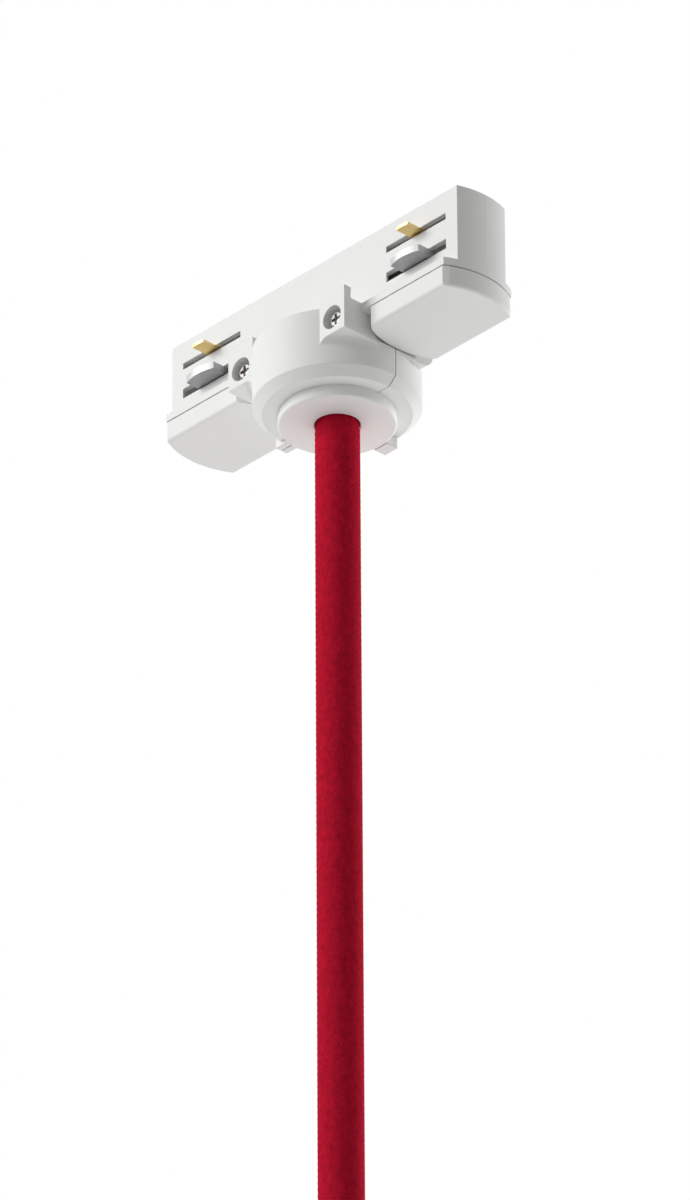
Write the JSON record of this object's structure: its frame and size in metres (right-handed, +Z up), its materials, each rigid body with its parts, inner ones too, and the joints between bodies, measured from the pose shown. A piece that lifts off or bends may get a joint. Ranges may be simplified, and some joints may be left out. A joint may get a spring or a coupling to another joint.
{
  "type": "track light adapter",
  "caption": "Pendant adapter for a lighting track: round split housing with a neck for the track's slot, a rotary locking lever at each end and a textile cord hanging from its outlet.",
  "frame": {"origin": "on the axis of the round body, in the plane of the track's underside", "axes": "+X along the track, +Y across it away from the screw heads, +Z up into the track"},
  "size_m": [0.108, 0.0426, 0.3075],
  "materials": {
    "housing_plastic": "satin moulded white plastic",
    "lever_plastic": "satin moulded white plastic",
    "head_plastic": "glass-filled plastic",
    "inner_plastic": "ivory plastic",
    "grip_plastic": "satin moulded white plastic",
    "screw_steel": "nickel plated",
    "plate_steel": "zinc plated",
    "contact_brass": "rolled brass",
    "brown_insulation": "soft insulation",
    "blue_insulation": "soft insulation",
    "green_insulation": "soft insulation",
    "cord_textile": "braided textile sleeve"
  },
  "bodies": {
    "housing": {"near_housing": "housing_plastic", "far_housing": "housing_plastic", "housing_screws": "screw_steel", "cord_nozzle": "housing_plastic", "terminal_block": "inner_plastic", "terminal_tubes": "contact_brass", "terminal_screws": "screw_steel", "line_strip": "contact_brass", "neutral_strip": "contact_brass", "earth_strip": "contact_brass", "cord_clamp": "inner_plastic", "clamp_screws": "screw_steel", "line_core": "brown_insulation", "neutral_core": "blue_insulation", "earth_core": "green_insulation", "cord": "cord_textile", "grip_cap": "grip_plastic", "grip_body": "grip_plastic", "grip_screw": "screw_steel"},
    "contact_lever": {"contact_lever": "lever_plastic", "contact_plate": "plate_steel", "contact_head": "head_plastic", "line_contact": "contact_brass", "neutral_contact": "contact_brass", "contact_head_screw": "screw_steel"},
    "latch_lever": {"latch_lever": "lever_plastic", "latch_plate": "plate_steel", "latch_head": "head_plastic", "earth_contact": "contact_brass", "latch_head_screw": "screw_steel"}
  },
  "joints": [
    {"name": "contact_lever_turn", "type": "hinge", "parent": "housing", "child": "contact_lever", "pos_m": [0.0376, 0, 0], "axis": [0, 0, 1], "range_deg": [0, 90]},
    {"name": "latch_lever_turn", "type": "hinge", "parent": "housing", "child": "latch_lever", "pos_m": [-0.0376, 0, 0], "axis": [0, 0, 1], "range_deg": [0, 90]}
  ]
}
